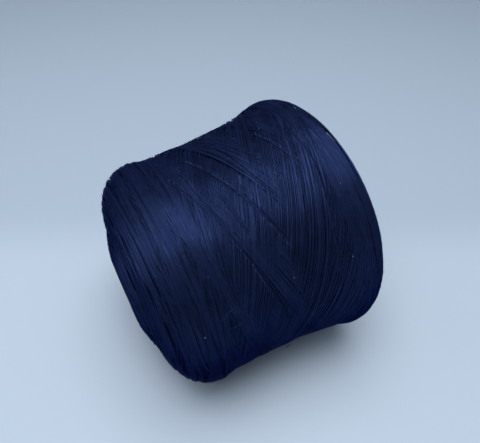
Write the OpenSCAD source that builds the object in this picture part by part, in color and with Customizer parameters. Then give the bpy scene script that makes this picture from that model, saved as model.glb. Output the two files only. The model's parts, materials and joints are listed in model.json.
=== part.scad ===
// Cone of sewing thread, lying on its side on the floor plane z = 0.
// Each piece is drawn along its own axis, with its wide end at z = 0 and its nose upward,
// and lay_down() then rests it on its flank with the nose towards +X.

/* [Cone tube] */
// Slope of the tube and of the thread's flank, in degrees: 4 degrees 20 minutes
taper = 4.333; // [3:0.001:5]
// Outer diameter of the tube at its wide end
tube_base_d = 62; // [54:1:70]
// Thickness of the tube's wall
tube_wall = 2.2; // [1.4:0.1:3.5]
// How far the tube stands out of the thread at its wide end
tube_base_out = 14; // [6:0.5:25]
// How far the tube stands out of the thread at its nose
tube_nose_out = 1; // [0.5:0.1:10]
// How far the nose lip turns in from the tube's outer skin
nose_lip = 3.1; // [2.6:0.1:5]
// Length of the straight bore in the nose lip
nose_land = 6; // [4:0.5:12]
// Rounding of the nose lip's outer edge
nose_edge = 2; // [0.5:0.1:2.4]
// Rounding of the rim at the wide end
base_edge = 0.8; // [0.2:0.1:1]

/* [Wound thread] */
// Largest diameter of the wound thread
package_d = 168; // [150:1:190]
// Length of the wound thread between its two edges, without the crowned end faces
package_l = 144.5; // [130:0.5:165]
// Rounding of the thread's edge at the wide end
base_round = 20; // [14:0.5:26]
// Rounding of the thread's shoulder at the nose
nose_round = 33; // [26:0.5:38]
// How far the end face bulges at the wide end
base_crown = 4; // [1:0.5:8]
// How far the end face bulges at the nose
nose_crown = 5; // [1:0.5:8]
// How far the middle of the flank is drawn in
waist = 1.5; // [0:0.1:3]

/* [Outer winding] */
// Number of turns in the outer layer
loops = 24; // [16:1:24]
// Gap between one turn and the next
turn_gap = 0.6; // [0.5:0.05:1.2]
// How far round the wide end's edge the turns reach, in degrees from square to the axis
base_wrap = 60; // [40:1:70]
// How far round the nose shoulder the turns reach, in degrees from square to the axis
nose_wrap = 65; // [45:1:72]
// Clearance between the winding, the thread under it and the tube
fit_gap = 0.3; // [0.2:0.05:0.5]

/* [Hidden] */
$fn = 96;
arc_steps = 10;
rings_per_loop = 24;
ring_sides = 6;
bend_rings = 4;
thread_navy = [0.09, 0.13, 0.26];
tube_black = [0.05, 0.055, 0.07];

// The flank is a straight line of distance flank_k from the local origin, sloping by the taper.
base_centre = [package_d / 2 - base_round, base_round];
flank_k = base_centre.x * cos(taper) + base_round * (1 + sin(taper));
nose_z = package_l - nose_round;
nose_centre = [(flank_k - nose_round - nose_z * sin(taper)) / cos(taper), nose_z];
flank_l = (nose_centre.y - base_centre.y) * cos(taper) - (nose_centre.x - base_centre.x) * sin(taper);

// The strand is as wide as the turns allow, with its flat side outward.
base_sweep = (base_wrap + taper) * PI / 180;
nose_sweep = (nose_wrap - taper) * PI / 180;
surface_path = base_round * base_sweep + flank_l + nose_round * nose_sweep;
half_flat = cos(180 / ring_sides) / 2;
strand_w = (surface_path / loops - turn_gap) / (1 + half_flat * (base_sweep + nose_sweep) / loops);
strand_r = strand_w / 2;
strand_depth = strand_w * half_flat;
path_start = -(base_round - strand_depth) * base_sweep;
path_end = flank_l + (nose_round - strand_depth) * nose_sweep;
path_rings = loops * rings_per_loop;
bend_r = strand_r + 0.8;

// The channel in the thread body clears the winding's flats between rings too.
chord_sag = package_d / 2 * (1 - cos(180 / rings_per_loop));
channel_depth = 2 * strand_depth + fit_gap + chord_sag;
channel_margin = strand_r + 2 * fit_gap;
socket_r = strand_r + 2 * fit_gap;

// Tube
tube_z0 = -base_crown - tube_base_out;
tube_z1 = package_l + nose_crown + tube_nose_out;
function tube_r(z) = tube_base_d / 2 - (z - tube_z0) * tan(taper);
nose_r = tube_r(tube_z1);
bore_r = nose_r - nose_lip;

// Lying down: one flat between two rings rests on the floor, pressed flat by a tenth of the strand.
rest_tilt = atan(tan(taper) * cos(180 / rings_per_loop));
rest_flat = strand_w / 10;
rest_z = flank_k * cos(rest_tilt) * cos(180 / rings_per_loop) / cos(taper) - rest_flat;
reach_min = min(tube_z0 * cos(rest_tilt) - tube_r(tube_z0) * sin(rest_tilt),
                base_centre.y * cos(rest_tilt) - base_centre.x * sin(rest_tilt) - base_round);
reach_max = max(tube_z1 * cos(rest_tilt) + (nose_r - nose_edge) * sin(rest_tilt),
                nose_centre.y * cos(rest_tilt) + nose_centre.x * sin(rest_tilt) + nose_round);
rest_x = -(reach_min + reach_max) / 2;

// Points [radius, height] of an arc
function arc(centre, r, from, to, steps = arc_steps) =
    [for (i = [0:steps]) let (a = from + (to - from) * i / steps) centre + r * [cos(a), sin(a)]];

// Tilt of the thread's surface normal above square to the axis, at a place on the winding's path
function normal_tilt(s, depth) =
    s < 0 ? taper + s / (base_round - depth) * 180 / PI :
    s > flank_l ? taper + (s - flank_l) / (nose_round - depth) * 180 / PI : taper;

// Point [radius, height] at the path place s, lying depth under the thread's outer surface.
// The place s is counted on the winding's centre line, from the wide end of the flank.
function package_point(s, depth) =
    let (a = normal_tilt(s, strand_depth), out = [cos(a), sin(a)])
    s < 0 ? base_centre + (base_round - depth) * out :
    s > flank_l ? nose_centre + (nose_round - depth) * out :
    base_centre + (nose_centre - base_centre) * s / flank_l
        + (base_round + (nose_round - base_round) * s / flank_l - depth) * out
        - waist * (1 - cos(360 * s / flank_l)) / 2 * out;

// Crowned end face, from the edge's end at height z to the tube
function crown(from_r, to_r, z, rise) =
    [for (i = [1:arc_steps]) let (u = i / arc_steps) [from_r + (to_r - from_r) * u, z + rise * (1 - pow(1 - u, 2))]];

// A point on the piece's own axes, laid down on the floor
function laid(p) = [
    p.z * cos(rest_tilt) - p.x * sin(rest_tilt) + rest_x,
    p.y,
    rest_z - p.z * sin(rest_tilt) - p.x * cos(rest_tilt)
];

module lay_down() {
    translate([rest_x, 0, rest_z])
        rotate([0, 90 + rest_tilt, 0])
            children();
}

// ---- cone tube ----

module cone_tube() {
    nose_arc = arc([nose_r - nose_edge, tube_z1 - nose_edge], nose_edge, 0, 90, 6);
    land_z = tube_z1 - nose_land;
    inner_base_r = tube_r(tube_z0) - tube_wall;
    inner_nose_r = tube_r(land_z) - tube_wall;
    rim_arc = arc([tube_r(tube_z0) - base_edge, tube_z0 + base_edge], base_edge, -90, 0, 4);
    color(tube_black)
        lay_down()
            rotate_extrude()
                polygon(concat(
                    [[inner_base_r, tube_z0]],
                    rim_arc,
                    nose_arc,
                    [[bore_r, tube_z1], [bore_r, land_z], [inner_nose_r, land_z - (inner_nose_r - bore_r)]]
                ));
}

// ---- thread ----

// The meridian outline of the wound thread, with a channel for the outer winding
module thread_outline() {
    channel_start = path_start - channel_margin;
    channel_end = path_end + channel_margin;
    channel_steps = 4 * arc_steps;
    floor_points = [for (i = [0:channel_steps])
        package_point(channel_start + (channel_end - channel_start) * i / channel_steps, channel_depth)];
    base_tilt = normal_tilt(channel_start, strand_depth);
    nose_tilt = normal_tilt(channel_end, strand_depth);
    tube_gap = fit_gap / cos(taper);
    base_hole_r = tube_r(-base_crown) + tube_gap;
    nose_hole_r = tube_r(package_l + nose_crown) + tube_gap;
    base_face = crown(base_centre.x, base_hole_r, 0, -base_crown);
    nose_face = crown(nose_centre.x, nose_hole_r, package_l, nose_crown);
    polygon(concat(
        [for (i = [arc_steps - 1:-1:0]) base_face[i]],
        arc(base_centre, base_round, -90, base_tilt),
        floor_points,
        arc(nose_centre, nose_round, nose_tilt, 90),
        nose_face
    ));
}

// Round socket that takes one end of the winding, square to the thread's surface
module end_socket(s, side) {
    tilt = normal_tilt(s, strand_depth);
    centre = package_point(s, strand_depth);
    rotate([0, 0, end_angle])
        translate([centre.x, side * bend_r, centre.y])
            rotate([0, -90 - tilt, 0])
                cylinder(r = socket_r, h = bend_r + strand_w + fit_gap, $fn = 32);
}

module thread_body() {
    color(thread_navy)
        lay_down()
            difference() {
                rotate_extrude()
                    thread_outline();
                end_socket(path_start, -1);
                end_socket(path_end, 1);
            }
}

// ---- outer winding ----

// Turn at which the winding starts and ends, counted from the side that rests on the floor
end_angle = 180 / rings_per_loop + 360 / rings_per_loop * 9;

// Corners of one ring on the piece's own axes: out and along are unit vectors of the ring's plane
function ring(centre, out, along) =
    [for (k = [0:ring_sides - 1]) let (a = 360 / ring_sides * (k + 0.5))
        centre + strand_r * (cos(a) * out + sin(a) * along)];

function turned(p, angle) = [p.x * cos(angle), p.x * sin(angle), p.y];

function path_ring(i) =
    let (s = path_start + (path_end - path_start) * i / path_rings,
         tilt = normal_tilt(s, strand_depth),
         angle = end_angle + 360 * i / rings_per_loop)
    ring(turned(package_point(s, strand_depth), angle),
         turned([cos(tilt), sin(tilt)], angle),
         turned([-sin(tilt), cos(tilt)], angle));

// One end: a quarter bend into the thread, then straight for one strand width.
// bend is the angle turned so far, and side is 1 where the path runs on and -1 where it began.
function end_ring(s, side, bend, straight) =
    let (tilt = normal_tilt(s, strand_depth),
         out = turned([cos(tilt), sin(tilt)], end_angle),
         on = side * [-sin(end_angle), cos(end_angle), 0],
         centre = turned(package_point(s, strand_depth), end_angle)
             + bend_r * (sin(bend) * on - (1 - cos(bend)) * out) - straight * out)
    ring(centre, cos(bend) * out + sin(bend) * on, turned([-sin(tilt), cos(tilt)], end_angle));

function bend_at(i) = 90 * i / bend_rings;

winding_rings = concat(
    [end_ring(path_start, -1, 90, strand_w)],
    [for (i = [bend_rings:-1:1]) end_ring(path_start, -1, bend_at(i), 0)],
    [for (i = [0:path_rings]) path_ring(i)],
    [for (i = [1:bend_rings]) end_ring(path_end, 1, bend_at(i), 0)],
    [end_ring(path_end, 1, 90, strand_w)]
);

function pressed(p) = [p.x, p.y, max(p.z, 0)];

function wall_faces(count) = [for (i = [0:count - 2], k = [0:ring_sides - 1])
    let (here = i * ring_sides, next = here + ring_sides, j = (k + 1) % ring_sides)
    each [[here + k, here + j, next + j], [here + k, next + j, next + k]]];

function cap_faces(first, flip) = [for (k = [1:ring_sides - 2])
    flip ? [first, first + k + 1, first + k] : [first, first + k, first + k + 1]];

// Least distance between the corners of neighbouring turns
function least_gap() = min([for (i = [0:path_rings - rings_per_loop])
    let (here = path_ring(i), next = path_ring(i + rings_per_loop))
    for (a = here, b = next) norm(a - b)]);

module outer_winding() {
    count = len(winding_rings);
    points = [for (r = winding_rings, p = r) pressed(laid(p))];
    faces = concat(
        wall_faces(count),
        cap_faces(0, true),
        cap_faces((count - 1) * ring_sides, false)
    );
    echo(least_gap_between_turns = least_gap());
    color(thread_navy)
        polyhedron(points = points, faces = faces, convexity = 10);
}

cone_tube();
thread_body();
outer_winding();
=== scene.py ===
"""A cone of navy sewing thread lying on its flank: a tapered plastic tube, the thread wound on it
strand by strand, and the stage that it lies on. All lengths are in metres."""

import json
import math
import random

import bmesh
import bpy
import numpy as np
from bpy.props import FloatProperty, FloatVectorProperty, IntProperty, PointerProperty
from bpy.types import Operator, Panel, PropertyGroup
from mathutils import Matrix, Vector


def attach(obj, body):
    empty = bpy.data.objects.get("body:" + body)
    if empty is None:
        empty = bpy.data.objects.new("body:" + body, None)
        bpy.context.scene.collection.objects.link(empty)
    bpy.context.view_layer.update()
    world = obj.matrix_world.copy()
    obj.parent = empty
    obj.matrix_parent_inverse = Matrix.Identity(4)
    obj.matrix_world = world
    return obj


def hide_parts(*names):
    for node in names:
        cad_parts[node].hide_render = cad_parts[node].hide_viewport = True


bl_info = {
    "name": "Thread Cone",
    "version": (1, 0, 0),
    "blender": (4, 5, 0),
    "location": "View3D > Sidebar > Thread Cone",
    "description": "Builds a cross-wound cone of sewing thread around its packed frame",
    "category": "Object",
}

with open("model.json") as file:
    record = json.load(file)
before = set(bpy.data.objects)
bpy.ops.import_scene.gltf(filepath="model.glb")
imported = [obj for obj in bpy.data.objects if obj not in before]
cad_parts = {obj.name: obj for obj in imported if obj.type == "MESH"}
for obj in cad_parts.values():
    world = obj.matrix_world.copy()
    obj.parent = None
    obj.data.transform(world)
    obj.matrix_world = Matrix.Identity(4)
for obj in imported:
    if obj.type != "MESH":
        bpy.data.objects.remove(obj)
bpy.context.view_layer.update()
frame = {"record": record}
MM = 0.001
TURN = 2 * math.pi


# ---- sizes and colours ----


def length(name, text, default, low=0.0):
    """A length in metres that the sidebar shows in the scene's units"""
    return FloatProperty(name=name, description=text, default=default, min=low, unit="LENGTH", precision=5)


class TubeSizes(PropertyGroup):
    base_d: length("Wide end", "Outer diameter of the tube at its wide end", 62 * MM)
    wall: length("Wall", "Thickness of the tube's wall", 2.2 * MM)
    base_out: length("Base stand-out", "Reach of the tube past the thread at its wide end", 14 * MM)
    nose_out: length("Nose stand-out", "Reach of the tube past the thread at its nose", 1 * MM)
    lip: length("Nose lip", "How far the nose lip turns in", 3.1 * MM)
    land: length("Lip bore", "Length of the straight bore in the nose lip", 6 * MM)
    nose_edge: length("Nose rounding", "Rounding of the nose lip", 2 * MM)
    taper: FloatProperty(name="Taper", description="Slope of the tube", default=math.radians(4.333),
                         subtype="ANGLE")
    colour: FloatVectorProperty(name="Tube colour", description="Colour of the moulded tube", size=3,
                                default=(0.006, 0.007, 0.011), subtype="COLOR", min=0, max=1)


class ThreadSizes(PropertyGroup):
    package_d: length("Diameter", "Largest diameter of the wound thread", 168 * MM)
    package_l: length("Length", "Length of the wound thread between its edges", 144.5 * MM)
    base_round: length("Edge rounding", "Rounding of the edge at the wide end", 20 * MM)
    nose_round: length("Shoulder rounding", "Rounding of the shoulder at the nose", 33 * MM)
    base_crown: length("Base crown", "Bulge of the end face at the wide end", 4 * MM)
    nose_crown: length("Nose crown", "Bulge of the end face at the nose", 5 * MM)
    waist: length("Waist", "How far the middle of the flank is drawn in", 1.5 * MM)
    strand_d: length("Strand", "Diameter of one strand", 0.5 * MM)
    strand_gap: length("Lay", "Distance between strands that lie side by side", 0.36 * MM)
    strokes: IntProperty(name="Strokes", description="Double strokes of the guide in the outer layers",
                         default=500, min=20, max=900)
    ribbons: IntProperty(name="Ribbons", description="Strokes before the thread returns beside itself",
                         default=5, min=1, max=12)
    ribbon_turns: IntProperty(name="Ribbon turns",
                              description="Turns before the thread returns beside itself",
                              default=6, min=1, max=30)
    climb: length("Layer", "Height from the oldest outer strand to the newest", 1.3 * MM)
    proud: length("Stand-out", "How far the newest strand stands proud of the package", 0.5 * MM)
    colour: FloatVectorProperty(name="Thread colour", description="Colour of the dyed thread", size=3,
                                default=(0.0142, 0.0245, 0.078), subtype="COLOR", min=0, max=1)


class StageLook(PropertyGroup):
    floor: FloatVectorProperty(name="Floor", description="Colour of the floor", size=3,
                               default=(0.405, 0.485, 0.585), subtype="COLOR", min=0, max=1)
    # The far floor's darker colour is painted shade, for the dimmer light further back
    shaded_far_floor: FloatVectorProperty(name="Far floor", description="Colour of the floor further back", size=3,
                                   default=(0.345, 0.42, 0.515), subtype="COLOR", min=0, max=1)
    camera_turn: FloatProperty(name="Azimuth", description="Direction that the camera looks from",
                               default=math.radians(151.3), subtype="ANGLE")
    camera_tilt: FloatProperty(name="Elevation", description="Height of the camera above the horizon",
                               default=math.radians(44.4), subtype="ANGLE")
    camera_away: length("Distance", "From the camera to the middle of the package", 327.4 * MM)


SIZE_GROUPS = (TubeSizes, ThreadSizes, StageLook)


# ---- the cone's own axes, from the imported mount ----


class Lie:
    """Where the cone lies: its axis from the wide end to the nose, and down square to it"""

    def __init__(self, tube, thread):
        bore = next(m for m in frame["record"]["mounts"] if m["name"] == "nose_bore")
        self.along = -Vector(bore["axis"]).normalized()
        self.across = Vector((0, 1, 0))
        self.down = self.across.cross(self.along)
        self.nose_z = thread.package_l + thread.nose_crown + tube.nose_out
        self.base_z = -thread.base_crown - tube.base_out
        self.origin = Vector(bore["pos_m"]) - self.along * (self.nose_z - tube.land / 2)

    def points(self, radius, angle, height):
        """Frame points at a radius from the axis, an angle from straight down and a height along it"""
        out = np.multiply.outer(np.asarray(radius) * np.cos(angle), np.array(self.down))
        side = np.multiply.outer(np.asarray(radius) * np.sin(angle), np.array(self.across))
        rise = np.multiply.outer(np.asarray(height), np.array(self.along))
        return out + side + rise + np.array(self.origin)

    def matrix(self):
        """Turns a mesh drawn about +Z, with +X downward, into the frame"""
        turn = Matrix((self.down, self.across, self.along)).transposed().to_4x4()
        return Matrix.Translation(self.origin) @ turn


class Outline:
    """The thread's meridian. A place s is counted along it from the wide end of the flank."""

    def __init__(self, thread, tube):
        t = tube.taper
        base_r, nose_r = thread.base_round, thread.nose_round
        centre_b = np.array((thread.package_d / 2 - base_r, base_r))
        reach = centre_b[0] * math.cos(t) + base_r * (1 + math.sin(t))
        nose_z = thread.package_l - nose_r
        centre_n = np.array(((reach - nose_r - nose_z * math.sin(t)) / math.cos(t), nose_z))
        span = centre_n - centre_b
        self.flank = span[1] * math.cos(t) - span[0] * math.sin(t)
        self.base_edge = -base_r * (math.pi / 2 + t)
        self.nose_edge = self.flank + nose_r * (math.pi / 2 - t)
        arcs = 40
        base_hole = tube.base_d / 2 - tube.base_out * math.tan(t)
        nose_hole = tube.base_d / 2 - (tube.base_out + thread.base_crown + thread.package_l
                                       + thread.nose_crown) * math.tan(t)
        points = self.crown(centre_b[0], base_hole, 0, -thread.base_crown)[::-1]
        angles = np.linspace(-math.pi / 2, t, arcs)
        points += [centre_b + base_r * np.array((math.cos(a), math.sin(a))) for a in angles]
        out = np.array((math.cos(t), math.sin(t)))
        for u in np.linspace(0, 1, 2 * arcs)[1:-1]:
            middle = centre_b + span * u + (base_r + (nose_r - base_r) * u) * out
            points.append(middle - thread.waist * (1 - math.cos(TURN * u)) / 2 * out)
        angles = np.linspace(t, math.pi / 2, arcs)
        points += [centre_n + nose_r * np.array((math.cos(a), math.sin(a))) for a in angles]
        points += self.crown(centre_n[0], nose_hole, thread.package_l, thread.nose_crown)
        points = np.array(points)
        steps = np.linalg.norm(np.diff(points, axis=0), axis=1)
        places = np.concatenate(([0.0], np.cumsum(steps)))
        edge = len(self.crown(centre_b[0], base_hole, 0, -thread.base_crown))
        self.places = places - places[edge] + self.base_edge
        self.points = points
        slope = np.gradient(points, self.places, axis=0)
        slope /= np.linalg.norm(slope, axis=1)[:, None]
        self.normals = np.stack((slope[:, 1], -slope[:, 0]), axis=1)
        self.first, self.last = self.places[0], self.places[-1]

    @staticmethod
    def crown(from_r, to_r, z, rise):
        steps = 20
        return [np.array((from_r + (to_r - from_r) * i / steps, z + rise * (1 - (1 - i / steps) ** 2)))
                for i in range(1, steps + 1)]

    def at(self, place, lift):
        """Radius and height of points lifted off the surface"""
        pick = [np.interp(place, self.places, column) for column in
                (self.points[:, 0], self.points[:, 1], self.normals[:, 0], self.normals[:, 1])]
        return pick[0] + lift * pick[2], pick[1] + lift * pick[3]


def settings():
    scene = bpy.context.scene
    return scene.tube_sizes, scene.thread_sizes, scene.stage_look


def cone_geometry():
    tube, thread, _ = settings()
    return tube, thread, Lie(tube, thread), Outline(thread, tube)


# ---- how the thread lies ----

# Angles are in degrees from straight down, places in millimetres from the wide end of the flank.
NEWEST_APEX = 190
# Where climbing strands lie on top (a positive lift) or under falling ones: angle, place, lift in mm
PATCHES = (
    (150, 60, -0.6),
    (182, 46, 0.6),
    (110, 68, 0.7),
    (140, 20, -0.6),
    (95, 25, -0.6),
    (150, 5, -0.8),
    (118, 18, -0.6),
    (172, 0, -0.8),
)
PATCH_REACH = 20 * MM
# How far falling strands stand above climbing ones near the wide end
BASE_FALL = 1.0 * MM
BASE_FALL_ENDS = (18 * MM, 46 * MM)
# Tight strands that have sunk into the package: angle and place at points along each
TIGHT_STRANDS = (
    ((196, 58), (183, 52), (166, 44)),
    ((184, 6), (161, 15), (141, 23), (130, 27)),
    ((189, 5), (154, 7), (137, 12), (105, 15)),
    ((100, 22), (89, 35), (76, 48)),
    ((204, 55), (185, 48), (166, 42), (153, 36)),
    ((194, 73), (171, 59), (147, 47), (128, 38)),
    ((195, 77), (172, 76), (152, 71), (132, 64), (98, 52), (86, 46)),
    ((190, 90), (172, 80), (156, 73)),
    ((187, 25), (177, 20), (163, 15)),
    ((164, 63), (151, 61), (140, 59)),
)
# The groove that each presses, and how deep the strand itself lies in it
TIGHT_DEPTH = 1.1 * MM
TIGHT_SUNK = 0.55 * MM
TIGHT_ENDS_SUNK = 1.2 * MM
TIGHT_WIDTH = 0.6 * MM
# Soft shape of the package: how far the flank is drawn in, and the full rim and shoulder
FLANK_DRAWN = 2.2 * MM
DRAWN_FROM = (-2 * MM, 14 * MM)
DRAWN_TO = (84 * MM, 98 * MM)
RIM_SWELL = 1.6 * MM
RIM_PLACE = -10 * MM
RIM_REACH = 13 * MM
SHOULDER_SWELL = 1.6 * MM
SHOULDER_PLACE = 110 * MM
SHOULDER_REACH = 14 * MM
# Thread heaped round the tube at the nose, most of it on one side, in degrees
NOSE_SWELL = 0.9 * MM
NOSE_SWELL_SIDE = 100
NOSE_SWELL_FROM = 26 * MM
NOSE_SWELL_TO = 3 * MM
# How far the inner layers lie under the surface
INNER_SUNK = 1.5 * MM


def ease(low, high, value):
    """Smooth step from 0 at low to 1 at high"""
    u = np.clip((value - low) / (high - low), 0, 1)
    return u * u * (3 - 2 * u)


def slow_waves(angle, place, seed, count=5, size=0.03):
    """A smooth random field of about unit height over the package"""
    draw = random.Random(seed)
    total = np.zeros(np.broadcast(angle, place).shape)
    for _ in range(count):
        turns = draw.randint(-4, 4)
        along = draw.uniform(-1, 1) / size
        total = total + np.sin(turns * angle + along * place + draw.uniform(0, TURN))
    return total / math.sqrt(count)


def swell(place):
    """Soft shape of the wound thread: waisted flank, full rim and full shoulder"""
    drawn = ease(*DRAWN_FROM, place) * (1 - ease(*DRAWN_TO, place))
    rim = np.exp(-((place - RIM_PLACE) / RIM_REACH) ** 2)
    shoulder = np.exp(-((place - SHOULDER_PLACE) / SHOULDER_REACH) ** 2)
    return SHOULDER_SWELL * shoulder + RIM_SWELL * rim - FLANK_DRAWN * drawn


def patch_lift(angle, place, radius):
    """How far climbing strands stand above falling ones"""
    total = np.zeros(np.broadcast(angle, place).shape)
    for degrees, millimetres, lift in PATCHES:
        turn = np.mod(angle - math.radians(degrees) + math.pi, TURN) - math.pi
        away = (turn * radius) ** 2 + (place - millimetres * MM) ** 2
        total = total + lift * MM * np.exp(-away / PATCH_REACH ** 2)
    return total - BASE_FALL * (1 - ease(*BASE_FALL_ENDS, place))


def tight_courses():
    """Angle and place of each tight strand, as arrays with rising angles"""
    for marks in TIGHT_STRANDS:
        marks = np.array(sorted(marks), float)
        angles = np.radians(marks[:, 0])
        fine = np.linspace(angles[0], angles[-1], 60)
        coarse = np.interp(fine, angles, marks[:, 1] * MM)
        padded = np.pad(coarse, 6, mode="reflect", reflect_type="odd")
        yield fine, np.convolve(padded, np.ones(13) / 13, "valid")


def grooves(angle, place, radius, courses):
    """Depth that the tight strands press into the surface"""
    depth = np.zeros(np.broadcast(angle, place).shape)
    for angles, places in courses:
        turn = np.mod(angle - angles[0], TURN) + angles[0]
        line = np.interp(turn, angles, places)
        lean = np.arctan2(np.interp(turn, angles, np.gradient(places, angles)), radius)
        off = (place - line) * np.cos(lean)
        share = (turn - angles[0]) / (angles[-1] - angles[0])
        bite = ease(0, 0.15, share) * (1 - ease(0.85, 1, share))
        depth = np.maximum(depth, TIGHT_DEPTH * bite * np.exp(-(off / TIGHT_WIDTH) ** 2))
    return depth


def refined(angle, place, radius, courses):
    """Adds points to a strand where it crosses a tight one"""
    fine = 6
    ticks = np.arange((len(angle) - 1) * fine + 1) / fine
    angle_f = np.interp(ticks, np.arange(len(angle)), angle)
    place_f = np.interp(ticks, np.arange(len(angle)), place)
    depth = grooves(angle_f, place_f, radius, courses)
    bend = np.zeros(len(depth), bool)
    bend[1:-1] = np.abs(depth[2:] - 2 * depth[1:-1] + depth[:-2]) > 0.01 * MM
    keep = bend | (np.arange(len(ticks)) % fine == 0)
    return angle_f[keep], place_f[keep], depth[keep], ticks[keep]


# ---- materials ----


def new_material(name):
    material = bpy.data.materials.new(name)
    material.use_nodes = True
    nodes = material.node_tree.nodes
    nodes.clear()
    output = nodes.new("ShaderNodeOutputMaterial")
    shader = nodes.new("ShaderNodeBsdfPrincipled")
    material.node_tree.links.new(shader.outputs["BSDF"], output.inputs["Surface"])
    return material, nodes, material.node_tree.links, shader


# Way along a thread in which one ply goes once round
PLY_PITCH = 1.4 * MM


def thread_twist_group():
    """Plies twisted round each other, with painted shade in the grooves between them, and the uneven dye
    along a thread
    """
    group = bpy.data.node_groups.get("thread_twist")
    if group:
        return group
    group = bpy.data.node_groups.new("thread_twist", "ShaderNodeTree")
    group.interface.new_socket("Course", in_out="INPUT", socket_type="NodeSocketVector")
    group.interface.new_socket("Plies", in_out="INPUT", socket_type="NodeSocketFloat").default_value = 3
    group.interface.new_socket("Tone", in_out="INPUT", socket_type="NodeSocketFloat").default_value = 1
    group.interface.new_socket("Height", in_out="OUTPUT", socket_type="NodeSocketFloat")
    group.interface.new_socket("Shade", in_out="OUTPUT", socket_type="NodeSocketFloat")
    nodes, links = group.nodes, group.links
    given, made = nodes.new("NodeGroupInput"), nodes.new("NodeGroupOutput")
    parts = nodes.new("ShaderNodeSeparateXYZ")
    links.new(given.outputs["Course"], parts.inputs["Vector"])

    def maths(operation, first, second=None, third=None):
        node = nodes.new("ShaderNodeMath")
        node.operation = operation
        for socket, value in zip(node.inputs, (first, second, third)):
            if isinstance(value, (int, float)):
                socket.default_value = value
            elif value is not None:
                links.new(value, socket)
        return node.outputs["Value"]

    along = maths("MULTIPLY", parts.outputs["X"], 1 / PLY_PITCH)
    phase = maths("MULTIPLY_ADD", parts.outputs["Y"], given.outputs["Plies"], along)
    ridge = maths("SINE", maths("MULTIPLY", phase, TURN))
    height = maths("MULTIPLY_ADD", ridge, 0.5, 0.5)
    dye = nodes.new("ShaderNodeTexNoise")
    dye.inputs["Scale"].default_value = 90
    dye.inputs["Detail"].default_value = 3
    where = nodes.new("ShaderNodeTexCoord")
    links.new(where.outputs["Object"], dye.inputs["Vector"])
    spread = nodes.new("ShaderNodeMapRange")
    spread.inputs["From Min"].default_value = 0.3
    spread.inputs["From Max"].default_value = 0.7
    spread.inputs["To Min"].default_value = 0.86
    spread.inputs["To Max"].default_value = 1.12
    links.new(dye.outputs["Fac"], spread.inputs["Value"])
    # Darker in the grooves between the plies and lighter on their crests: painted shade, times the uneven
    # dye
    shade = maths("MULTIPLY", spread.outputs["Result"], maths("MULTIPLY_ADD", height, 0.3, 0.82))
    links.new(maths("MULTIPLY", shade, given.outputs["Tone"]), made.inputs["Shade"])
    links.new(height, made.inputs["Height"])
    return group


def thread_material(name, colour, plies=3, tones=True):
    """Dyed thread, made partly metallic so that its sheen keeps the colour of the dye"""
    material = bpy.data.materials.get(name)
    if material:
        return material
    material, nodes, links, shader = new_material(name)
    course = nodes.new("ShaderNodeUVMap")
    course.uv_map = "course"
    twist = nodes.new("ShaderNodeGroup")
    twist.node_tree = thread_twist_group()
    twist.inputs["Plies"].default_value = plies
    links.new(course.outputs["UV"], twist.inputs["Course"])
    if tones:
        tone = nodes.new("ShaderNodeAttribute")
        tone.attribute_name = "tone"
        links.new(tone.outputs["Fac"], twist.inputs["Tone"])
    tint = nodes.new("ShaderNodeMix")
    tint.data_type = "RGBA"
    tint.blend_type = "MULTIPLY"
    tint.inputs["Factor"].default_value = 1
    tint.inputs["A"].default_value = (*colour, 1)
    # The base colour carries the uneven dye, any strand tone and the painted shade in the ply grooves
    links.new(twist.outputs["Shade"], tint.inputs["B"])
    links.new(tint.outputs["Result"], shader.inputs["Base Color"])
    bump = nodes.new("ShaderNodeBump")
    bump.inputs["Strength"].default_value = 0.5
    bump.inputs["Distance"].default_value = 0.06 * MM
    links.new(twist.outputs["Height"], bump.inputs["Height"])
    links.new(bump.outputs["Normal"], shader.inputs["Normal"])
    shader.inputs["Roughness"].default_value = 0.35
    shader.inputs["Metallic"].default_value = 0.65
    shader.inputs["Specular IOR Level"].default_value = 0.0
    shader.inputs["Specular Tint"].default_value = (0.12, 0.18, 0.36, 1)
    return material


def lint_material():
    """Pale dull fluff"""
    material, nodes, links, shader = new_material("pale_lint")
    where = nodes.new("ShaderNodeTexCoord")
    tufts = nodes.new("ShaderNodeTexNoise")
    tufts.inputs["Scale"].default_value = 4000
    tufts.inputs["Detail"].default_value = 3
    links.new(where.outputs["Object"], tufts.inputs["Vector"])
    tint = nodes.new("ShaderNodeMix")
    tint.data_type = "RGBA"
    tint.inputs["A"].default_value = (0.42, 0.45, 0.55, 1)
    tint.inputs["B"].default_value = (0.75, 0.76, 0.8, 1)
    links.new(tufts.outputs["Fac"], tint.inputs["Factor"])
    links.new(tint.outputs["Result"], shader.inputs["Base Color"])
    shader.inputs["Roughness"].default_value = 0.9
    shader.inputs["Specular IOR Level"].default_value = 0.1
    return material


def tube_material(colour):
    """Dull moulded plastic with a fine grain"""
    material, nodes, links, shader = new_material("tube_plastic")
    shader.inputs["Base Color"].default_value = (*colour, 1)
    shader.inputs["Roughness"].default_value = 0.6
    shader.inputs["Specular IOR Level"].default_value = 0.12
    coordinate = nodes.new("ShaderNodeTexCoord")
    grain = nodes.new("ShaderNodeTexNoise")
    grain.inputs["Scale"].default_value = 900
    grain.inputs["Detail"].default_value = 3
    links.new(coordinate.outputs["Object"], grain.inputs["Vector"])
    bump = nodes.new("ShaderNodeBump")
    bump.inputs["Strength"].default_value = 0.15
    bump.inputs["Distance"].default_value = 0.1 * MM
    links.new(grain.outputs["Fac"], bump.inputs["Height"])
    links.new(bump.outputs["Normal"], shader.inputs["Normal"])
    return material


# ---- helpers for pieces ----


def add_piece(name, mesh, material):
    piece = bpy.data.objects.new(name, mesh)
    bpy.context.scene.collection.objects.link(piece)
    mesh.materials.clear()
    mesh.materials.append(material)
    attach(piece, "root")
    return piece


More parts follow.
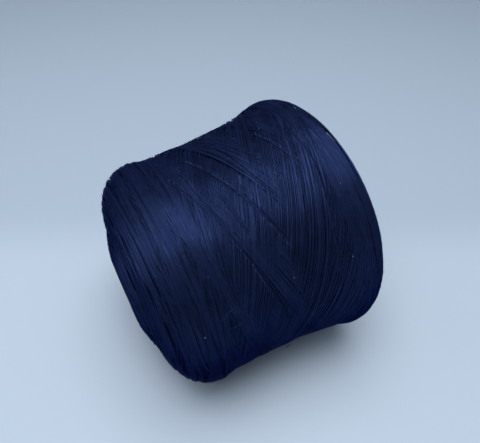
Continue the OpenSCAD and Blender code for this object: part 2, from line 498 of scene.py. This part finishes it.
def spun_mesh(name, profile, lie, steps):
    """A closed or open profile of (radius, height) points, spun about the cone's axis"""
    shape = bmesh.new()
    chain = [shape.verts.new((r, 0, z)) for r, z in profile]
    edges = [shape.edges.new((a, b)) for a, b in zip(chain, chain[1:])]
    bmesh.ops.spin(shape, geom=chain + edges, cent=(0, 0, 0), axis=(0, 0, 1), angle=TURN, steps=steps,
                   use_merge=True)
    bmesh.ops.remove_doubles(shape, verts=shape.verts, dist=1e-7)
    bmesh.ops.recalc_face_normals(shape, faces=shape.faces)
    for face in shape.faces:
        face.smooth = True
    shape.transform(lie.matrix())
    mesh = bpy.data.meshes.new(name)
    shape.to_mesh(mesh)
    shape.free()
    return mesh


def strand_mesh(name, strands, radius):
    """Round strands through lists of points, as one mesh with a tone for each strand and a map of
    the way along it and round it. Each strand is (points, tone)."""
    sides = 4
    curve = bpy.data.curves.new(name + "_path", "CURVE")
    curve.dimensions = "3D"
    curve.bevel_depth = radius
    curve.bevel_resolution = 0
    for points, _ in strands:
        spline = curve.splines.new("POLY")
        spline.points.add(len(points) - 1)
        padded = np.concatenate((points, np.ones((len(points), 1))), axis=1)
        spline.points.foreach_set("co", padded.astype(np.float32).ravel())
        spline.points[0].radius = spline.points[-1].radius = 0.02
        spline.use_smooth = True
    holder = bpy.data.objects.new(name + "_path", curve)
    bpy.context.scene.collection.objects.link(holder)
    depsgraph = bpy.context.evaluated_depsgraph_get()
    mesh = bpy.data.meshes.new_from_object(holder.evaluated_get(depsgraph), depsgraph=depsgraph)
    mesh.name = name
    bpy.data.objects.remove(holder)
    bpy.data.curves.remove(curve)
    counts = np.array([len(points) for points, _ in strands]) * sides
    if len(mesh.vertices) != counts.sum():
        raise RuntimeError(f"{name}: the strands made {len(mesh.vertices)} vertices, not {counts.sum()}")
    attribute = mesh.attributes.new("tone", "FLOAT", "POINT")
    tones = np.repeat([tone for _, tone in strands], counts)
    attribute.data.foreach_set("value", tones.astype(np.float32))
    lengths = np.array([np.linalg.norm(np.diff(points, axis=0), axis=1).sum() for points, _ in strands])
    corners = np.empty(len(mesh.loops), np.int32)
    mesh.loops.foreach_get("vertex_index", corners)
    course = mesh.uv_layers[0]
    course.name = "course"
    flat = np.empty(len(mesh.loops) * 2, np.float32)
    course.data.foreach_get("uv", flat)
    flat[0::2] *= np.repeat(lengths, counts)[corners]
    course.data.foreach_set("uv", flat)
    mesh.shade_smooth()
    return mesh


def add_strands(name, strands, parts, thread, stands_for):
    """Strands shared out over a few pieces, each light enough to export whole"""
    material = thread_material("dyed_thread", thread.colour)
    for part in range(parts):
        chosen = strands[part * len(strands) // parts:(part + 1) * len(strands) // parts]
        part_name = f"{name}_{part + 1}" if parts > 1 else name
        piece = add_piece(part_name, strand_mesh(part_name, chosen, thread.strand_d / 2), material)
        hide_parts(stands_for)


def laid(lie, outline, thread, angle, place, lift):
    """Frame points of a strand, kept off the floor"""
    radius, height = outline.at(place, lift)
    points = lie.points(radius, angle, height)
    points[:, 2] = np.maximum(points[:, 2], thread.strand_d / 2)
    return points


# ---- pieces ----


class THREADCONE_OT_tube(Operator):
    """Moulded tapered tube with its turned-in nose lip"""

    bl_idname = "thread_cone.tube"
    bl_label = "Cone tube"

    def execute(self, context):
        tube, _, lie, _ = cone_geometry()
        slope = math.tan(tube.taper)

        def outer(z):
            return tube.base_d / 2 - (z - lie.base_z) * slope

        z0, z1 = lie.base_z, lie.nose_z
        edge = tube.nose_edge
        rim = 0.8 * MM
        nose_r = outer(z1)
        bore = nose_r - tube.lip
        land_z = z1 - tube.land
        profile = [(outer(z0) - tube.wall, z0)]
        profile += [(outer(z0) - rim + rim * math.sin(a), z0 + rim - rim * math.cos(a))
                    for a in np.linspace(0, math.pi / 2, 6)]
        profile += [(outer(z), z) for z in np.linspace(z0 + 2 * rim, z1 - 2 * edge, 20)]
        profile += [(nose_r - edge + edge * math.cos(a), z1 - edge + edge * math.sin(a))
                    for a in np.linspace(0, math.pi / 2, 10)]
        profile += [(bore + 0.5 * MM, z1), (bore, z1 - 0.5 * MM), (bore, land_z)]
        profile += [(outer(land_z) - tube.wall, land_z - 1 * MM)]
        profile += [(outer(z) - tube.wall, z) for z in np.linspace(land_z - 3 * MM, z0 + 3 * MM, 12)]
        profile += [profile[0]]
        mesh = spun_mesh("tube_shell", profile, lie, 160)
        piece = add_piece("tube_shell", mesh, tube_material(tube.colour))
        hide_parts("cone_tube")
        return {"FINISHED"}


class THREADCONE_OT_inner_thread(Operator):
    """Inner layers of thread under the outermost strands"""

    bl_idname = "thread_cone.inner_thread"
    bl_label = "Inner thread"

    def execute(self, context):
        _, thread, lie, outline = cone_geometry()
        places = np.linspace(outline.first, outline.last, 150)
        radius, height = outline.at(places, swell(places) - INNER_SUNK)
        mesh = spun_mesh("inner_thread", list(zip(radius, height)), lie, 240)
        for vertex in mesh.vertices:
            vertex.co.z = max(vertex.co.z, 0)
        wrap_course(mesh, lie, outline, thread)
        # Its ridges between the thread rows carry bumps and painted shade in the grooves
        material = thread_material("packed_thread", thread.colour, plies=1, tones=False)
        piece = add_piece("inner_thread", mesh, material)
        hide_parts("thread_body")
        return {"FINISHED"}


def wrap_course(mesh, lie, outline, thread):
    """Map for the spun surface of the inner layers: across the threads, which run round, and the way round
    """
    course = mesh.uv_layers.new(name="course")
    back = lie.matrix().inverted()
    local = [back @ vertex.co for vertex in mesh.vertices]
    for face in mesh.polygons:
        centre = back @ face.center
        facing = math.atan2(centre.y, centre.x)
        for corner in face.loop_indices:
            point = local[mesh.loops[corner].vertex_index]
            turn = math.atan2(point.y, point.x)
            turn = facing + math.remainder(turn - facing, TURN)
            height = point.z - math.hypot(point.x, point.y)
            course.data[corner].uv = (height * PLY_PITCH / thread.strand_gap, turn / TURN)


# Outer layers: depth of the mean winding radius, slope of the strands, and how evenly a stroke runs
WINDING_DEPTH = 9 * MM
WINDING_LEAN = math.radians(22)
STROKE_ROUNDNESS = 0.8
POINTS_PER_TURN = 84
# Where the oldest strokes turn back, at the wide end and past the flank at the nose, how far that
# drifts by the newest stroke, and how unevenly
BASE_TURN = -8 * MM
BASE_TURN_DRIFT = 6 * MM
NOSE_TURN = 7 * MM
NOSE_TURN_DRIFT = 20 * MM
TURN_WANDER = 1.6 * MM
STROKE_WANDER = 0.08 * MM
WAVE_WANDER = 0.6 * MM
LIFT_WANDER = 0.03 * MM


class THREADCONE_OT_outer_thread(Operator):
    """The outer layers: one thread laid to and fro over the whole package"""

    bl_idname = "thread_cone.outer_thread"
    bl_label = "Outer thread"

    def execute(self, context):
        _, thread, lie, outline = cone_geometry()
        draw = random.Random(11)
        radius = thread.package_d / 2 - WINDING_DEPTH
        courses = list(tight_courses())
        count = thread.strokes
        turns = thread.ribbon_turns / thread.ribbons
        creep = -thread.strand_gap / (TURN * radius * math.sin(WINDING_LEAN)) / thread.ribbons
        first_turn = NEWEST_APEX / 360 - (count - 0.5) * (turns + creep)
        bases = [BASE_TURN_DRIFT * (stroke / count) + BASE_TURN + draw.gauss(0, TURN_WANDER)
                 for stroke in range(count + 1)]
        noses = [outline.flank + NOSE_TURN - NOSE_TURN_DRIFT * (stroke / count) + draw.gauss(0, TURN_WANDER)
                 for stroke in range(count)]
        steps = int(POINTS_PER_TURN * turns)
        strands = []
        for stroke in range(count):
            share = np.linspace(0, 2, steps + 1)
            angle = TURN * (first_turn + (turns + creep) * (stroke + share / 2))
            swing = np.arcsin(STROKE_ROUNDNESS * np.sin(math.pi * (share - 0.5)))
            wave = 0.5 + swing / (2 * math.asin(STROKE_ROUNDNESS))
            base = np.where(share < 1, bases[stroke], bases[stroke + 1])
            place = base + (noses[stroke] - base) * wave
            free = np.sin(math.pi * share / 2) ** 0.5
            place = place + free * draw.gauss(0, STROKE_WANDER)
            place = place + slow_waves(angle, place, 5, size=0.05) * WAVE_WANDER
            angle, place, depth, ticks = refined(angle, place, radius, courses)
            share = ticks / steps * 2
            age = 1 - (stroke + share / 2) / count
            climbing = np.sin(math.pi * share)
            patch = climbing * patch_lift(angle, place, radius) / 2
            lift = (swell(place) + thread.proud + patch - thread.climb * age
                    - depth + draw.gauss(0, LIFT_WANDER) * np.sin(math.pi * share / 2))
            strands.append((laid(lie, outline, thread, angle, place, lift), draw.uniform(0.88, 1.12)))
        add_strands("outer_thread", strands, 4, thread, "outer_winding")
        return {"FINISHED"}


def nose_swell(outline, angle, place):
    """Thread heaped round the tube at the nose, most of it on one side"""
    near = ease(outline.last - NOSE_SWELL_FROM, outline.last - NOSE_SWELL_TO, place)
    side = 0.5 + 0.5 * np.cos(angle - math.radians(NOSE_SWELL_SIDE))
    return NOSE_SWELL * near * (0.35 + 0.65 * side)


def end_loops(lie, outline, thread, draw, first, last, pitch, pile, arcs, toward):
    """Bundles of strands where earlier layers turned back, row by row over a rounded end"""
    strands = []
    row = first
    while row < last:
        start = draw.uniform(0, TURN)
        for arc in range(arcs):
            reach = TURN / arcs * draw.uniform(0.5, 0.85)
            middle = start + TURN * arc / arcs + draw.uniform(-0.2, 0.2)
            centre = row + draw.uniform(-0.35, 0.35) * pitch
            drift = draw.gauss(0, 1.0 * MM)
            half = pitch * draw.uniform(0.38, 0.62)
            height = pile * draw.uniform(0.6, 1.2)
            count = max(3, round(2 * half / thread.strand_gap))
            for strand in range(count):
                off = (strand + 0.5) / count * 2 - 1
                long = reach * draw.uniform(0.8, 1.1)
                steps = max(8, int(2 * long / math.radians(5)))
                share = np.linspace(-1, 1, steps)
                angle = middle + share * long
                sink = ease(0.5, 1, np.abs(share))
                place = centre + off * half * (1 - 0.3 * sink) + drift * share + toward * sink * 5 * MM
                place = place + slow_waves(angle, place, 6, size=0.04) * 0.7 * MM
                place = np.clip(place, outline.first + 0.3 * MM, outline.last - 0.3 * MM)
                lift = height * (math.sqrt(1 - off * off) - 1) - sink * 0.9 * MM + draw.gauss(0, 0.05 * MM)
                lift = lift + swell(place) + thread.proud * 0.6 + nose_swell(outline, angle, place)
                strands.append((laid(lie, outline, thread, angle, place, lift), draw.uniform(0.88, 1.12)))
        row += pitch
    return strands


class THREADCONE_OT_nose_loops(Operator):
    """Turning loops of the inner layers, in ribs over the shoulder and the nose face"""

    bl_idname = "thread_cone.nose_loops"
    bl_label = "Nose loops"

    def execute(self, context):
        _, thread, lie, outline = cone_geometry()
        strands = end_loops(lie, outline, thread, random.Random(21), outline.flank - 8 * MM,
                            outline.last - 1 * MM, 2.8 * MM, 0.8 * MM, 4, -1)
        add_strands("nose_loops", strands, 2, thread, "thread_body")
        return {"FINISHED"}


class THREADCONE_OT_base_loops(Operator):
    """Turning loops of the inner layers, over the edge and the face at the wide end"""

    bl_idname = "thread_cone.base_loops"
    bl_label = "Base loops"

    def execute(self, context):
        _, thread, lie, outline = cone_geometry()
        strands = end_loops(lie, outline, thread, random.Random(22), outline.first + 1 * MM,
                            4 * MM, 2.6 * MM, 0.4 * MM, 4, 1)
        add_strands("base_loops", strands, 2, thread, "thread_body")
        return {"FINISHED"}


class THREADCONE_OT_tight_strands(Operator):
    """Single strands pulled tight across the package, each in its own groove"""

    bl_idname = "thread_cone.tight_strands"
    bl_label = "Tight strands"

    def execute(self, context):
        _, thread, lie, outline = cone_geometry()
        draw = random.Random(31)
        strands = []
        for angles, places in tight_courses():
            ends = np.linspace(0, 1, len(angles))
            sunk = TIGHT_ENDS_SUNK * (1 - ease(0, 0.1, ends) * (1 - ease(0.9, 1, ends)))
            lift = swell(places) + thread.proud - TIGHT_SUNK - sunk
            # Tone a little lighter than the other strands: painted highlight on the tight strands, spread
            # at random
            strands.append((laid(lie, outline, thread, angles, places, lift), draw.uniform(1.0, 1.25)))
        add_strands("tight_strands", strands, 1, thread, "outer_winding")
        return {"FINISHED"}


# A stray end and a snag, each at an angle in degrees and a place in mm
STRAY_AT = (109, 84)
SNAG_AT = (66, 49)
STRAY_RADIUS = 0.09 * MM
HAIRS = 1600
HAIR_RADIUS = 0.04 * MM


class THREADCONE_OT_loose_fibres(Operator):
    """A stray end in a loop, a small snag low on the package, and the fine fuzz of the fibres"""

    bl_idname = "thread_cone.loose_fibres"
    bl_label = "Loose fibres"

    def execute(self, context):
        _, thread, lie, outline = cone_geometry()
        draw = random.Random(41)
        share = np.linspace(0, 1, 40)
        angle = np.radians(STRAY_AT[0] + 6 * np.sin(TURN * share * 0.8) + 5 * share)
        place = (STRAY_AT[1] + 7 * np.cos(TURN * share * 0.8) + 2 * np.sin(TURN * share * 2.3)) * MM
        lift = swell(place) + thread.proud + (0.4 + 0.9 * np.sin(math.pi * share)) * MM
        stray = [(laid(lie, outline, thread, angle, place, lift), 1.9)]
        angle = np.radians(SNAG_AT[0] + 2.2 * np.sin(TURN * share))
        place = (SNAG_AT[1] + 1.6 * np.sin(TURN * share * 2)) * MM
        lift = swell(place) + thread.proud + (0.2 + 2.2 * np.sin(math.pi * share)) * MM
        stray.append((laid(lie, outline, thread, angle, place, lift), 1.0))
        material = thread_material("dyed_thread", thread.colour)
        piece = add_piece("stray_ends", strand_mesh("stray_ends", stray, STRAY_RADIUS), material)
        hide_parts("outer_winding")
        fuzz = []
        for _ in range(HAIRS):
            angle = draw.uniform(0, TURN)
            place = draw.uniform(outline.base_edge, outline.nose_edge)
            long, lean = draw.uniform(1.5, 5) * MM, draw.uniform(-1, 1)
            out = draw.uniform(0.2, 1.3) * MM
            steps = np.linspace(0, 1, 5)
            curl = draw.uniform(-1, 1) * MM
            angles = angle + steps * long / (thread.package_d / 2)
            places = place + lean * long * steps * 0.6 + curl * steps ** 2
            lift = swell(places) + thread.proud - 0.3 * MM + out * np.sin(math.pi * steps * 0.7)
            fuzz.append((laid(lie, outline, thread, angles, places, lift), draw.uniform(1.5, 3.5)))
        piece = add_piece("fuzz", strand_mesh("fuzz", fuzz, HAIR_RADIUS), material)
        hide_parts("outer_winding")
        return {"FINISHED"}


# Specks of pale lint: angle in degrees, place and size in mm
LINT = (
    (187, 19, 0.20), (169, -6, 0.22), (145, 0, 0.20), (117, 44, 0.22), (116, 7, 0.18),
    (110, 102, 0.26), (130, 64, 0.15), (98, 30, 0.14), (140, 90, 0.13), (165, 60, 0.13),
)


class THREADCONE_OT_lint(Operator):
    """Specks of pale lint caught on the thread"""

    bl_idname = "thread_cone.lint"
    bl_label = "Lint"

    def execute(self, context):
        _, thread, lie, outline = cone_geometry()
        draw = random.Random(51)
        shape = bmesh.new()
        for degrees, place, size in LINT:
            lift = swell(np.array([place * MM])) + thread.proud + size * MM / 2
            spot = laid(lie, outline, thread, np.radians([float(degrees)]), np.array([place * MM]), lift)[0]
            squash = Matrix.Diagonal((1, draw.uniform(0.6, 1), draw.uniform(0.5, 0.9), 1))
            bmesh.ops.create_icosphere(shape, subdivisions=1, radius=size * MM,
                                       matrix=Matrix.Translation(spot) @ squash)
        mesh = bpy.data.meshes.new("lint")
        shape.to_mesh(mesh)
        shape.free()
        mesh.shade_smooth()
        piece = add_piece("lint", mesh, lint_material())
        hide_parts("outer_winding")
        return {"FINISHED"}


# The camera's shift from the package's middle, and its lens and film in mm
CAMERA_SIDE = 6.9 * MM
CAMERA_RISE = 12.5 * MM
LENS = 35.3
FILM = 36
# Half the side of the floor, in metres, and the even light of the room
FLOOR_HALF = 3
SKY = (0.62, 0.72, 0.85, 1)
WORLD_LEVEL = 0.26
# Distances towards the camera between which the far floor, darkened with painted shade, turns into the near
# one
FADE_FROM = -0.13
FADE_TO = -0.03
# Lamps: name, to the camera's right, up, towards the camera, width, power
LAMPS = (
    ("overhead", 0.0, 1.4, 0.0, 1.2, 15.5),
    ("front_top", -0.16, 1.32, 0.45, 1.0, 10.0),
    ("left", -1.0, 1.0, 0.0, 0.9, 1.8),
    ("right", 0.48, 1.32, 0.0, 0.9, 1.9),
)


def add_camera(scene, look, middle, back, right):
    camera = bpy.data.objects.new("camera", bpy.data.cameras.new("camera"))
    scene.collection.objects.link(camera)
    scene.camera = camera
    camera.data.sensor_width = FILM
    camera.data.lens = LENS
    up = back.cross(right)
    camera.location = (middle + back * look.camera_away + right * CAMERA_SIDE + up * CAMERA_RISE)
    camera.rotation_mode = "QUATERNION"
    camera.rotation_quaternion = (-back).to_track_quat("-Z", "Y")
    camera.data.clip_start = 0.01


def floor_material(look):
    """Pale matt floor, a little darker beyond the cone as painted shade, where less light falls"""
    material, nodes, links, shader = new_material("floor")
    shader.inputs["Roughness"].default_value = 0.7
    where = nodes.new("ShaderNodeTexCoord")
    frontwards = nodes.new("ShaderNodeVectorMath")
    frontwards.operation = "DOT_PRODUCT"
    frontwards.inputs[1].default_value = (math.sin(look.camera_turn), -math.cos(look.camera_turn), 0)
    links.new(where.outputs["Object"], frontwards.inputs[0])
    far_shade_mask = nodes.new("ShaderNodeMapRange")
    far_shade_mask.interpolation_type = "SMOOTHERSTEP"
    far_shade_mask.inputs["From Min"].default_value = FADE_FROM
    far_shade_mask.inputs["From Max"].default_value = FADE_TO
    links.new(frontwards.outputs["Value"], far_shade_mask.inputs["Value"])
    # Mix from the painted shade of the far floor to the near floor
    tone = nodes.new("ShaderNodeMix")
    tone.data_type = "RGBA"
    tone.inputs["A"].default_value = (*look.shaded_far_floor, 1)
    tone.inputs["B"].default_value = (*look.floor, 1)
    links.new(far_shade_mask.outputs["Result"], tone.inputs["Factor"])
    links.new(tone.outputs["Result"], shader.inputs["Base Color"])
    shader.inputs["Specular IOR Level"].default_value = 0.2
    return material


def add_floor(scene, look):
    floor_mesh = bpy.data.meshes.new("floor")
    shape = bmesh.new()
    bmesh.ops.create_grid(shape, x_segments=1, y_segments=1, size=FLOOR_HALF)
    shape.to_mesh(floor_mesh)
    shape.free()
    floor = bpy.data.objects.new("floor", floor_mesh)
    scene.collection.objects.link(floor)
    floor_mesh.materials.append(floor_material(look))


def add_lamps(scene, middle, back, right):
    """The even light of the room, and soft lamps over the cone"""
    world = bpy.data.worlds.new("studio")
    scene.world = world
    world.use_nodes = True
    world.node_tree.nodes["Background"].inputs["Color"].default_value = SKY
    world.node_tree.nodes["Background"].inputs["Strength"].default_value = WORLD_LEVEL
    flat_back = Vector((back.x, back.y, 0)).normalized()
    for name, side, rise, toward, size, power in LAMPS:
        lamp = bpy.data.lights.new(name, "AREA")
        lamp.shape = "DISK"
        lamp.size = size
        lamp.energy = power
        holder = bpy.data.objects.new(name, lamp)
        scene.collection.objects.link(holder)
        holder.location = middle + right * side + Vector((0, 0, 1)) * rise + flat_back * toward
        holder.rotation_mode = "QUATERNION"
        holder.rotation_quaternion = (middle - holder.location).to_track_quat("-Z", "Y")


class THREADCONE_OT_stage(Operator):
    """Pale floor, soft lamps and the camera"""

    bl_idname = "thread_cone.stage"
    bl_label = "Stage"

    def execute(self, context):
        tube, thread, look = settings()
        lie = Lie(tube, thread)
        middle = Vector((lie.origin.x + thread.package_l / 2, 0, thread.package_d / 2))
        turn, tilt = look.camera_turn, look.camera_tilt
        back = Vector((math.sin(turn) * math.cos(tilt), -math.cos(turn) * math.cos(tilt), math.sin(tilt)))
        right = Vector((math.cos(turn), math.sin(turn), 0))
        add_camera(context.scene, look, middle, back, right)
        add_floor(context.scene, look)
        add_lamps(context.scene, middle, back, right)
        context.scene.view_settings.view_transform = "Standard"
        return {"FINISHED"}


PIECE_OPERATORS = (
    THREADCONE_OT_tube,
    THREADCONE_OT_inner_thread,
    THREADCONE_OT_nose_loops,
    THREADCONE_OT_base_loops,
    THREADCONE_OT_outer_thread,
    THREADCONE_OT_tight_strands,
    THREADCONE_OT_loose_fibres,
    THREADCONE_OT_lint,
    THREADCONE_OT_stage,
)


class THREADCONE_PT_panel(Panel):
    """Sidebar panel that lists the cone's pieces"""

    bl_label = "Thread Cone"
    bl_idname = "THREADCONE_PT_panel"
    bl_space_type = "VIEW_3D"
    bl_region_type = "UI"
    bl_category = "Thread Cone"

    def draw(self, context):
        for operator in PIECE_OPERATORS:
            self.layout.operator(operator.bl_idname)


CLASSES = (*SIZE_GROUPS, *PIECE_OPERATORS, THREADCONE_PT_panel)


def register():
    for cls in CLASSES:
        bpy.utils.register_class(cls)
    bpy.types.Scene.tube_sizes = PointerProperty(type=TubeSizes)
    bpy.types.Scene.thread_sizes = PointerProperty(type=ThreadSizes)
    bpy.types.Scene.stage_look = PointerProperty(type=StageLook)


def unregister():
    del bpy.types.Scene.stage_look
    del bpy.types.Scene.thread_sizes
    del bpy.types.Scene.tube_sizes
    for cls in reversed(CLASSES):
        bpy.utils.unregister_class(cls)


def main():
    register()
    bpy.ops.thread_cone.stage()
    bpy.ops.thread_cone.tube()
    bpy.ops.thread_cone.inner_thread()
    bpy.ops.thread_cone.nose_loops()
    bpy.ops.thread_cone.base_loops()
    bpy.ops.thread_cone.outer_thread()
    bpy.ops.thread_cone.tight_strands()
    bpy.ops.thread_cone.loose_fibres()
    bpy.ops.thread_cone.lint()


if __name__ == "__main__":
    main()
